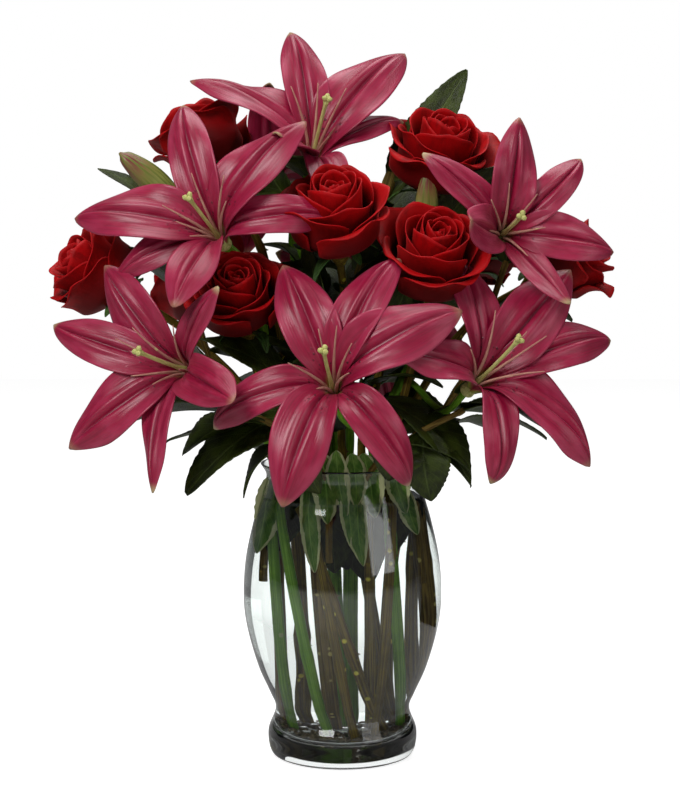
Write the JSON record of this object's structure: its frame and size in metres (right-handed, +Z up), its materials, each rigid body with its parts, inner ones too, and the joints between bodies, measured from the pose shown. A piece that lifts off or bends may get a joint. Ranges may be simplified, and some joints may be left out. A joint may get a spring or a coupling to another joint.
{
  "type": "lilies in a vase",
  "caption": "Burgundy lilies and red roses with buds and leafy sprigs, standing in a clear glass vase of water.",
  "frame": {"origin": "centre of the vase's flat underside, where it rests", "axes": "+Z up along the vase's axis, -Y the front that most flowers face, +X to that side's right"},
  "size_m": [0.3729, 0.2787, 0.4959],
  "materials": {
    "vase_glass": "clear polished pressed glass",
    "vase_water": "still clear water, very slightly green",
    "bark": "brown woody branch with pale lenticels",
    "lily_stem_green": "smooth bright green stalk, satin",
    "rose_stem_bark": "olive brown rose stalk with small yellow spots",
    "pistil": "pale yellow green, satin",
    "filament": "pink fading to green, satin",
    "lily_tepal": "burgundy satin with darker veins, green at the throat",
    "bud": "olive green with a burgundy flush, satin",
    "rose_petal": "deep red velvet, nearly black in the folds",
    "leaf": "dark green leaf, waxy, with a paler midrib"
  },
  "bodies": {
    "root": {"vase": "vase_glass", "water": "vase_water", "branch_stub": "bark", "lily_stem_1": "lily_stem_green", "lily_stem_2": "lily_stem_green", "lily_stem_3": "lily_stem_green", "lily_stem_4": "lily_stem_green", "lily_stem_5": "lily_stem_green", "rose_stem_1": "rose_stem_bark", "rose_stem_2": "rose_stem_bark", "rose_stem_3": "rose_stem_bark", "rose_stem_4": "rose_stem_bark", "rose_stem_5": "rose_stem_bark", "rose_stem_6": "rose_stem_bark", "rose_stem_7": "rose_stem_bark", "rose_stem_8": "rose_stem_bark", "rose_stem_9": "rose_stem_bark", "lily_pistil_1": "pistil", "lily_pistil_2": "pistil", "lily_pistil_3": "pistil", "lily_pistil_4": "pistil", "lily_pistil_5": "pistil", "lily_pistil_6": "pistil", "lily_pistil_7": "pistil", "lily_pistil_8": "pistil", "lily_stamens_1": "filament", "lily_stamens_2": "filament", "lily_stamens_3": "filament", "lily_stamens_4": "filament", "lily_stamens_5": "filament", "lily_stamens_6": "filament", "lily_stamens_7": "filament", "lily_stamens_8": "filament", "lily_tepals_1": "lily_tepal", "lily_tepals_2": "lily_tepal", "lily_tepals_3": "lily_tepal", "lily_tepals_4": "lily_tepal", "lily_tepals_5": "lily_tepal", "lily_tepals_6": "lily_tepal", "lily_tepals_7": "lily_tepal", "lily_tepals_8": "lily_tepal", "lily_bud_1": "bud", "lily_bud_2": "bud", "rose_bloom_1": "rose_petal", "rose_bloom_2": "rose_petal", "rose_bloom_3": "rose_petal", "rose_bloom_4": "rose_petal", "rose_bloom_5": "rose_petal", "rose_bloom_6": "rose_petal", "rose_bloom_7": "rose_petal", "rose_bloom_8": "rose_petal", "rose_bloom_9": "rose_petal", "sprig_centre": "leaf", "sprig_front_left": "leaf", "sprig_front_right": "leaf", "sprig_left": "leaf", "sprig_right": "leaf", "sprig_back": "leaf"}
  },
  "joints": []
}
